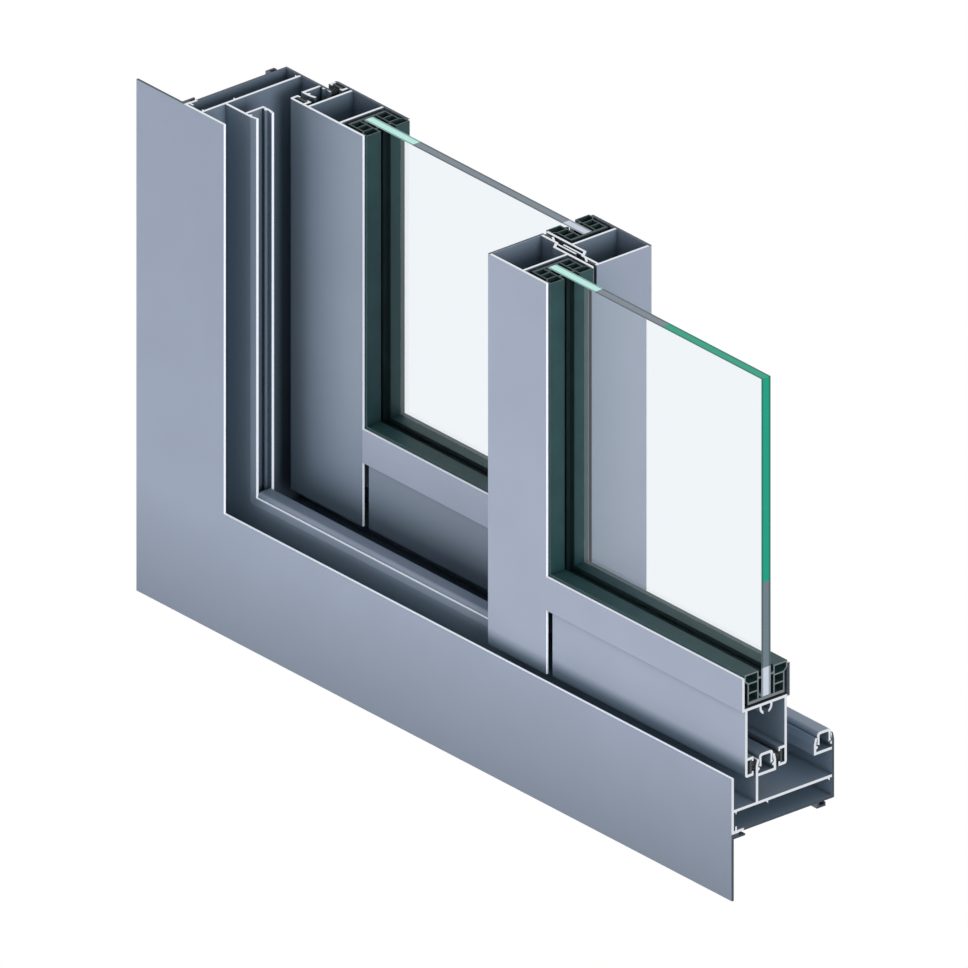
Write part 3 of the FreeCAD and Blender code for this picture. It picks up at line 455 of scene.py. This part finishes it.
def edge_colour(tree, spot, looks_up, low, high, top_steps, side_steps):
    """The colours of a pane's edges: the top along X, the sawn side up Z, and what is hidden."""
    edge = add(tree, "ShaderNodeMix", {
        "Factor": looks_up, COLOUR_A: edge_steps(tree, spot[Z], low.z, high.z, *side_steps),
        COLOUR_B: edge_steps(tree, spot[X], low.x, high.x, *top_steps)},
        data_type="RGBA").outputs[MIXED_COLOUR]
    in_gasket = any_of(tree, [all_of(tree, [(spot[side], BELOW, low[side] + CUT_DEPTH)])
                              for side in (X, Z)])
    edge = add(tree, "ShaderNodeMix", {"Factor": in_gasket, COLOUR_A: edge, COLOUR_B: HIDDEN},
               data_type="RGBA").outputs[MIXED_COLOUR]
    from_middle = add(tree, "ShaderNodeMath", {0: spot[Y], 1: (low.y + high.y) / 2},
                      operation="SUBTRACT").outputs[0]
    away = add(tree, "ShaderNodeMath", {0: from_middle}, operation="ABSOLUTE").outputs[0]
    arris = all_of(tree, [(away, ABOVE, ARRIS)])
    shade = add(tree, "ShaderNodeMath", {0: arris, 1: ARRIS_SHADE},
                operation="MULTIPLY").outputs[0]
    return add(tree, "ShaderNodeMix", {"Factor": shade, COLOUR_A: edge, COLOUR_B: ARRIS_DARK},
               data_type="RGBA").outputs[MIXED_COLOUR]


# %% [markdown]
# One material holds both: the ground edge is an opaque shader with a little painted glow, for the
# light that runs inside the sheet and leaves it there, and the two faces are real refracting glass.
# Refracting glass casts a solid shadow, so the faces let shadow rays pass straight through.

# %% Glass
GROUND_RIPPLE = 3 * MM
GLASS_IOR = 1.52
# Painted glow of the ground edge, top and side.
TOP_GLOW, SIDE_GLOW = 0.3, 0.25


def float_glass(name, pane, top_steps, side_steps):
    """Clear glass for one pane. Its steps are a first colour and a list of (place, colour)."""
    low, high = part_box(pane)
    material, tree, shader = new_material(name)
    place, spot, looks = read_surface(tree)
    looks_up = all_of(tree, [(looks[Z], ABOVE, 0.5)])
    ground = edge_colour(tree, spot, looks_up, low, high, top_steps, side_steps)
    ripple = add(tree, "ShaderNodeTexNoise", {"Vector": place, "Scale": 1 / GROUND_RIPPLE,
                                              "Detail": 2.0}).outputs["Fac"]
    rough = add(tree, "ShaderNodeMapRange", {"Value": ripple, "To Min": 0.15,
                                             "To Max": 0.35}).outputs[0]
    glow = add(tree, "ShaderNodeMath", {0: looks_up, 1: TOP_GLOW, 2: SIDE_GLOW},
               operation="MULTIPLY_ADD").outputs[0]
    fill(tree, shader, {"Base Color": ground, "Roughness": rough, "IOR": GLASS_IOR,
                        "Specular IOR Level": 0.15, "Emission Color": ground,
                        "Emission Strength": glow})

    clear = add(tree, "ShaderNodeBsdfPrincipled", {
        "Base Color": "#EFF4F8", "Roughness": 0.0, "IOR": GLASS_IOR, "Transmission Weight": 1.0})
    across = add(tree, "ShaderNodeMath", {0: looks[Y]}, operation="ABSOLUTE").outputs[0]
    is_face = all_of(tree, [(across, ABOVE, FACING)])
    body = add(tree, "ShaderNodeMixShader", {0: is_face, 1: shader.outputs[0],
                                             2: clear.outputs[0]}).outputs[0]
    shadow = add(tree, "ShaderNodeLightPath").outputs["Is Shadow Ray"]
    face_shadow = add(tree, "ShaderNodeMath", {0: shadow, 1: is_face},
                      operation="MULTIPLY").outputs[0]
    pass_light = add(tree, "ShaderNodeBsdfTransparent", {"Color": "#F5F8F8"}).outputs[0]
    mixed = add(tree, "ShaderNodeMixShader", {0: face_shadow, 1: body, 2: pass_light}).outputs[0]
    fill(tree, tree.nodes["Material Output"], {"Surface": mixed})
    finish_with(material, [pane])


# %% [markdown]
# The places where an edge changes colour are read off the sample. A top edge gets painted light
# where it is lit through the pocket of the stile at its left, and then a painted grey for what lies
# behind it. Past that, the front pane's edge is open and deep green, and the rear pane's has the
# pale painted light of the pocket at its right. The sawn side of the front pane starts pale in the
# bottom gasket, then has painted shade, then is green.

# %% The two panes
FRONT_LIT_END = 298.8 * MM
FRONT_OPEN_START = 350.8 * MM
SIDE_POCKET_END = 88.9 * MM
SIDE_OPEN_START = 136.3 * MM
REAR_LIT_END = 111.7 * MM
REAR_POCKET_START = 228.3 * MM
float_glass("float_glass_front", "front_sash_glass",
            (MINT, [(FRONT_LIT_END, GREY), (FRONT_OPEN_START, GREEN)]),
            (POCKET, [(SIDE_POCKET_END, SHADED), (SIDE_OPEN_START, GREEN)]))
float_glass("float_glass_rear", "rear_sash_glass",
            (MINT, [(REAR_LIT_END, GREY), (REAR_POCKET_START, POCKET)]), (GREY, []))

# %% [markdown]
# ## Rollers and corner cleat
# The roller housings are pressed from zinc-plated sheet: bluish, with faint cloudy spangle.

# %% Zinc-plated steel
SPANGLE = 2.5 * MM
material, tree, shader = new_material("zinc_plated_steel")
place = add(tree, "ShaderNodeTexCoord").outputs["Object"]
spangle = add(tree, "ShaderNodeTexVoronoi", {"Vector": place,
                                             "Scale": 1 / SPANGLE}).outputs["Distance"]
tint = add(tree, "ShaderNodeMix", {"Factor": spangle, COLOUR_A: "#A9B0B8", COLOUR_B: "#C9CED3"},
           data_type="RGBA").outputs[MIXED_COLOUR]
rough = add(tree, "ShaderNodeMapRange", {"Value": spangle, "To Min": 0.28,
                                         "To Max": 0.42}).outputs[0]
fill(tree, shader, {"Base Color": tint, "Metallic": 1.0, "Roughness": rough})
finish_with(material, [n for n in sorted(nodes) if n.endswith("_housing")])

# %% [markdown]
# The wheels are moulded nylon, off-white and slightly waxy, with the faint flow marks of the
# mould.

# %% Moulded nylon
FLOW = 5 * MM
material, tree, shader = new_material("moulded_nylon")
place = add(tree, "ShaderNodeTexCoord").outputs["Object"]
flow = add(tree, "ShaderNodeTexNoise", {"Vector": place, "Scale": 1 / FLOW,
                                        "Detail": 3.0}).outputs["Fac"]
tint = add(tree, "ShaderNodeMix", {"Factor": flow, COLOUR_A: "#D9D6CB", COLOUR_B: "#E9E6DD"},
           data_type="RGBA").outputs[MIXED_COLOUR]
bump = add(tree, "ShaderNodeBump", {"Height": flow, "Strength": 0.1,
                                    "Distance": 0.1 * MM}).outputs[0]
fill(tree, shader, {"Base Color": tint, "Roughness": 0.4, "IOR": 1.53, "Subsurface Weight": 0.1,
                    "Subsurface Scale": 1 * MM, "Normal": bump})
finish_with(material, [n for n in sorted(nodes) if n.endswith("_wheel")])

# %% [markdown]
# The corner cleat is a plain length of extruded angle, left as it came from the mill, with long
# die lines. The angle was drawn along Y.

# %% Mill-finish aluminium
material, tree, shader = new_material("mill_finish_aluminium")
place = add(tree, "ShaderNodeTexCoord").outputs["Object"]
drawn = add(tree, "ShaderNodeMapping", {"Vector": place, "Scale": (
    1 / DIE_LINE, 1 / DIE_RUN, 1 / DIE_LINE)}).outputs[0]
lines = add(tree, "ShaderNodeTexNoise", {"Vector": drawn, "Scale": 1.0}).outputs["Fac"]
tint = add(tree, "ShaderNodeMix", {"Factor": lines, COLOUR_A: "#B4B7BA", COLOUR_B: "#CDD0D2"},
           data_type="RGBA").outputs[MIXED_COLOUR]
bump = add(tree, "ShaderNodeBump", {"Height": lines, "Strength": 0.15,
                                    "Distance": RELIEF}).outputs[0]
fill(tree, shader, {"Base Color": tint, "Metallic": 1.0, "Roughness": 0.35, "Normal": bump})
finish_with(material, ["frame_corner_cleat"])

# %% [markdown]
# ## Brush seals
# A brush seal is a woven strip with rows of fine polypropylene fibres that stand on it. The CAD
# model holds each one as a plain strip of the pile's outer size. Thousands of small repeated
# shapes are what Geometry Nodes are for: a grid of points, moved a little at random, carries
# one thin four-sided fibre each, and the strip under them is a box. Real fibres are 0.06 mm
# thick, so they are drawn eight times as coarse here, as wide as they need to be to show.

# %% Fibre material
TUFT = 1.2 * MM
pile, tree, shader = new_material("polypropylene_pile")
place = add(tree, "ShaderNodeTexCoord").outputs["Object"]
tufts = add(tree, "ShaderNodeTexNoise", {"Vector": place, "Scale": 1 / TUFT,
                                         "Detail": 2.0}).outputs["Fac"]
tint = add(tree, "ShaderNodeMix", {"Factor": tufts, COLOUR_A: "#23282B", COLOUR_B: "#4A5154"},
           data_type="RGBA").outputs[MIXED_COLOUR]
fill(tree, shader, {"Base Color": tint, "Roughness": 0.6, "IOR": 1.49, "Sheen Weight": 0.3,
                    "Sheen Roughness": 0.4})
print("material:", pile.name)

# %% [markdown]
# The tree has a named input for each of a strip's sizes, so one tree serves all the strips.

# %% The inputs of a brush strip
strip = bpy.data.node_groups.new("brush_strip", "GeometryNodeTree")
strip.is_modifier = True
strip.interface.new_socket("Geometry", in_out="INPUT", socket_type="NodeSocketGeometry")
strip.interface.new_socket("Geometry", in_out="OUTPUT", socket_type="NodeSocketGeometry")
strip_inputs = {}
for name, kind, value in (
        ("Length", "NodeSocketFloat", 0.1), ("Backing width", "NodeSocketFloat", 7.4 * MM),
        ("Backing height", "NodeSocketFloat", 1.2 * MM), ("Pile width", "NodeSocketFloat", 3.0 * MM),
        ("Pile height", "NodeSocketFloat", 2.4 * MM), ("Fibre radius", "NodeSocketFloat", 0.25 * MM),
        ("Pile margin", "NodeSocketFloat", 1.8 * MM), ("Spacing", "NodeSocketFloat", 0.6 * MM),
        ("Seed", "NodeSocketInt", 7)):
    socket = strip.interface.new_socket(name, in_out="INPUT", socket_type=kind)
    socket.default_value = value
    strip_inputs[name] = socket.identifier
given = strip.nodes.new("NodeGroupInput").outputs
print("brush strip inputs:", ", ".join(strip_inputs))

# %% [markdown]
# The fibres stand on a grid. Each one is shaken off its place by up to a third of the spacing,
# leans a little, and has its own length, because an even lawn of fibres looks like a comb.

# %% Fibres of a strip
SHAKE = 0.35
LEAN = 0.12
FULL_TURN = 6.28
THINNEST, THICKEST = (0.8, 0.8, 0.9), (1.2, 1.2, 0.99)


def counted(size):
    """How many points fit on a side at the strip's spacing."""
    ratio = add(strip, "ShaderNodeMath", {0: given[size], 1: given["Spacing"]},
                operation="DIVIDE").outputs[0]
    return add(strip, "ShaderNodeMath", {0: ratio}, operation="ROUND").outputs[0]


inside = add(strip, "ShaderNodeMath", {0: given["Length"], 1: given["Pile margin"]},
             operation="SUBTRACT").outputs[0]
grid = add(strip, "GeometryNodeMeshGrid", {
    "Size X": inside, "Size Y": given["Pile width"],
    "Vertices X": counted("Length"), "Vertices Y": counted("Pile width")}).outputs["Mesh"]
apart = add(strip, "ShaderNodeMath", {0: given["Spacing"], 1: SHAKE},
            operation="MULTIPLY").outputs[0]
shake = add(strip, "FunctionNodeRandomValue", {
    "Seed": given["Seed"], "Min": (-1, -1, 0), "Max": (1, 1, 0)},
    data_type="FLOAT_VECTOR").outputs[0]
moved = add(strip, "ShaderNodeVectorMath", {0: shake, "Scale": apart},
            operation="SCALE").outputs[0]
points = add(strip, "GeometryNodeSetPosition", {"Geometry": grid, "Offset": moved}).outputs[0]
tip = add(strip, "ShaderNodeMath", {0: given["Fibre radius"], 1: 0.5},
          operation="MULTIPLY").outputs[0]
fibre = add(strip, "GeometryNodeMeshCone", {
    "Vertices": 4, "Radius Top": tip, "Radius Bottom": given["Fibre radius"],
    "Depth": given["Pile height"]}).outputs["Mesh"]
lean = add(strip, "FunctionNodeRandomValue", {
    "Seed": given["Seed"], "Min": (-LEAN, -LEAN, 0), "Max": (LEAN, LEAN, FULL_TURN)},
    data_type="FLOAT_VECTOR").outputs[0]
size = add(strip, "FunctionNodeRandomValue", {
    "Seed": given["Seed"], "Min": THINNEST, "Max": THICKEST}, data_type="FLOAT_VECTOR").outputs[0]
fibres = add(strip, "GeometryNodeInstanceOnPoints", {
    "Points": points, "Instance": fibre, "Rotation": lean, "Scale": size}).outputs[0]
lift = add(strip, "ShaderNodeCombineXYZ", {"Z": given["Backing height"]}).outputs[0]
fibres = add(strip, "GeometryNodeTransform", {"Geometry": fibres, "Translation": lift}).outputs[0]
print("fibres:", len(strip.nodes), "nodes")

# %% [markdown]
# The woven backing is a box as wide as the slot that holds it. Instances are made real at the
# end, because a plain mesh is what is kept.

# %% Backing of a strip
extent = add(strip, "ShaderNodeCombineXYZ", {"X": given["Length"], "Y": given["Backing width"],
                                             "Z": given["Backing height"]}).outputs[0]
box = add(strip, "GeometryNodeMeshCube", {"Size": extent}).outputs["Mesh"]
half = add(strip, "ShaderNodeMath", {0: given["Backing height"], 1: 0.5},
           operation="MULTIPLY").outputs[0]
raise_box = add(strip, "ShaderNodeCombineXYZ", {"Z": half}).outputs[0]
backing = add(strip, "GeometryNodeTransform", {"Geometry": box,
                                               "Translation": raise_box}).outputs[0]
together = strip.nodes.new("GeometryNodeJoinGeometry")
for part in (fibres, backing):
    strip.links.new(part, together.inputs[0])
real = add(strip, "GeometryNodeRealizeInstances", {0: together.outputs[0]}).outputs[0]
dressed = add(strip, "GeometryNodeSetMaterial", {"Geometry": real, "Material": pile}).outputs[0]
add(strip, "NodeGroupOutput", {0: dressed})
print("brush strip tree:", len(strip.nodes), "nodes")

# %% [markdown]
# Each strip is grown along X with its pile up Z, turned into a plain mesh, and then laid over
# the CAD strip that it stands for. The pile of an outer brush points into the wall and that of
# an inner brush points out, both towards the rail head between them.

# %% Growing and laying a strip
INTO_WALL, OUT_OF_WALL = 1, -1


def grow_strip(name, settings):
    """A plain mesh of a strip with these settings, along X with its pile up Z."""
    carrier = bpy.data.objects.new(f"{name}_strip", bpy.data.meshes.new("seed"))
    bpy.context.scene.collection.objects.link(carrier)
    grow = carrier.modifiers.new("grow", "NODES")
    grow.node_group = strip
    for key, value in settings.items():
        grow[strip_inputs[key]] = value
    shape = bpy.data.meshes.new_from_object(
        carrier.evaluated_get(bpy.context.evaluated_depsgraph_get()))
    bpy.data.objects.remove(carrier)
    return shape


def lay_strip(shape, low, high, axis, way):
    """Turn a strip along an axis, with its pile into or out of the wall, and fit it in a box."""
    along = Vector([float(i == axis) for i in range(3)])
    up = Vector((0, way, 0))
    turn = Matrix((along, up.cross(along), up)).transposed().to_4x4()
    centre = (low + high) / 2
    base = low.y if way == INTO_WALL else high.y
    shape.transform(Matrix.Translation((centre.x, base, centre.z)) @ turn)


# %% The brushes
BACKING = 1.2 * MM
PILE_WIDTH = 2.8 * MM
brushes = {
    "front_sash_outer_brush": (X, INTO_WALL), "front_sash_inner_brush": (X, OUT_OF_WALL),
    "rear_sash_outer_brush": (X, INTO_WALL), "rear_sash_inner_brush": (X, OUT_OF_WALL),
    "jamb_outer_brush": (Z, INTO_WALL), "jamb_inner_brush": (Z, OUT_OF_WALL),
    "front_meeting_brush": (Z, INTO_WALL), "rear_meeting_brush": (Z, OUT_OF_WALL),
}
for number, (name, (axis, way)) in enumerate(brushes.items()):
    low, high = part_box(name)
    across = Z if axis == X else X
    shape = grow_strip(name, {
        "Length": high[axis] - low[axis], "Backing width": high[across] - low[across],
        "Backing height": BACKING, "Pile width": PILE_WIDTH,
        "Pile height": high.y - low.y - BACKING, "Seed": number + 1})
    lay_strip(shape, low, high, axis, way)
    brush = bpy.data.objects.new(f"{name}_fibres", shape)
    bpy.context.scene.collection.objects.link(brush)
    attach(brush, "root")
    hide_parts(name)
    print(f"{name}: {len(shape.polygons)} faces")

# %% [markdown]
# ## Room, light and camera
# The sample hangs on a wall, so the floor lies well below it and keeps its soft shadow. Camera,
# mirror and glass rays see the room as plain white, as in a catalogue picture, while the light
# that falls on the object stays at a level at which a colour renders about as it is written.

# %% White room
ROOM_LIGHT = 0.38


def sees_room(tree):
    """1 for the rays of the camera, of mirrors and of glass, and 0 for all other light."""
    rays = add(tree, "ShaderNodeLightPath").outputs
    return any_of(tree, [rays["Is Camera Ray"], rays["Is Glossy Ray"],
                         rays["Is Transmission Ray"]])


world = bpy.data.worlds.new("white_room")
bpy.context.scene.world = world
world.use_nodes = True
tree = world.node_tree
tree.nodes.clear()
level = add(tree, "ShaderNodeMapRange", {"Value": sees_room(tree), "To Min": ROOM_LIGHT,
                                         "To Max": 1.0}).outputs[0]
sky = add(tree, "ShaderNodeBackground", {"Color": (1, 1, 1, 1), "Strength": level}).outputs[0]
add(tree, "ShaderNodeOutputWorld", {"Surface": sky})
print("room light", ROOM_LIGHT)

# %% [markdown]
# The floor is pale and matt. For the rays that see the room it glows at half strength, and it
# fades to plain white from 1 to 2 m away, so that it has no edge against the room.

# %% Floor
FLOOR = -1.2
FLOOR_REACH = 8
FADE_START, FADE_END = 1.0, 2.0
corners = [(x * FLOOR_REACH, y * FLOOR_REACH, FLOOR)
           for x, y in ((-1, -1), (1, -1), (1, 1), (-1, 1))]
floor_mesh = bpy.data.meshes.new("floor")
floor_mesh.from_pydata(corners, [], [(0, 1, 2, 3)])
floor = bpy.data.objects.new("floor", floor_mesh)
bpy.context.scene.collection.objects.link(floor)
material, tree, shader = new_material("pale_floor")
seen = sees_room(tree)
glow = add(tree, "ShaderNodeMath", {0: seen, 1: 0.5}, operation="MULTIPLY").outputs[0]
fill(tree, shader, {"Base Color": "#F2F2F2", "Roughness": 0.9,
                    "Emission Color": (1, 1, 1, 1), "Emission Strength": glow})
place = add(tree, "ShaderNodeTexCoord").outputs["Object"]
level_place = add(tree, "ShaderNodeVectorMath", {0: place, 1: (1, 1, 0)},
                  operation="MULTIPLY").outputs[0]
distance = add(tree, "ShaderNodeVectorMath", {0: level_place}, operation="LENGTH").outputs["Value"]
far = add(tree, "ShaderNodeMapRange", {"Value": distance, "From Min": FADE_START,
                                       "From Max": FADE_END},
          interpolation_type="SMOOTHSTEP").outputs[0]
white = add(tree, "ShaderNodeEmission", {"Color": (1, 1, 1, 1), "Strength": 1.0}).outputs[0]
share = add(tree, "ShaderNodeMath", {0: far, 1: seen}, operation="MULTIPLY").outputs[0]
mixed = add(tree, "ShaderNodeMixShader", {0: share, 1: shader.outputs[0], 2: white}).outputs[0]
fill(tree, tree.nodes["Material Output"], {"Surface": mixed})
floor_mesh.materials.append(material)
floor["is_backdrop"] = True
print(f"floor at {FLOOR} m")

# %% [markdown]
# Three softboxes light the sample: a large one at the front left and below it, one from the
# right that brightens the sawn ends, and a weak one behind it. Mirror and glass rays don't see
# them, or they would stand in the panes as white squares.

# %% Lamps
target = (cad_low + cad_high) / 2


def softbox(name, away, size, level):
    """A square area lamp that gives a facing white surface this level of light."""
    lamp = bpy.data.lights.new(name, "AREA")
    lamp.shape = "SQUARE"
    lamp.size = size
    away = Vector(away)
    lamp.energy = level * math.pi ** 2 * away.length_squared
    holder = bpy.data.objects.new(name, lamp)
    bpy.context.scene.collection.objects.link(holder)
    holder.location = target + away
    holder.rotation_mode = "QUATERNION"
    holder.rotation_quaternion = away.to_track_quat("Z", "Y")
    holder.visible_glossy = False
    holder.visible_transmission = False
    print(f"{name}: {lamp.energy:.1f} W")


softbox("front_softbox", (-0.8, -1.5, -0.45), 1.3, 0.55)
softbox("right_softbox", (1.9, -0.5, 0.5), 1.0, 0.45)
softbox("back_softbox", (-0.9, 1.4, 0.2), 1.0, 0.3)

# %% [markdown]
# The camera is a parallel one, because the edges that run away from it don't converge. It looks
# down on the front from the right, and its picture is 484 mm wide.

# %% Camera
VIEW_WIDTH = 484 * MM
VIEW_CENTRE = Vector((0.05976, 0.14678, 0.01372))
VIEW_DISTANCE = 2
RIGHT = Vector((0.64279, 0.76604, 0.0))
UP = Vector((-0.33582, 0.28178, 0.89879))
BACK = RIGHT.cross(UP)
camera = bpy.data.objects.new("camera", bpy.data.cameras.new("camera"))
bpy.context.scene.collection.objects.link(camera)
camera.data.type = "ORTHO"
camera.data.ortho_scale = VIEW_WIDTH
camera.data.clip_end = 10
turn = Matrix((RIGHT, UP, BACK)).transposed().to_4x4()
camera.matrix_world = Matrix.Translation(VIEW_CENTRE + BACK * VIEW_DISTANCE) @ turn
bpy.context.scene.camera = camera
bpy.context.scene.view_settings.view_transform = "Standard"
print("camera looks along", tuple(round(-v, 3) for v in BACK))

# %% [markdown]
# ## Size
# The finishes must not change the object's size, so its box is written before and after.

# %% Sizes before and after
low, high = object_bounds()
print("visual box", tuple(round(v, 4) for v in high - low), "m")
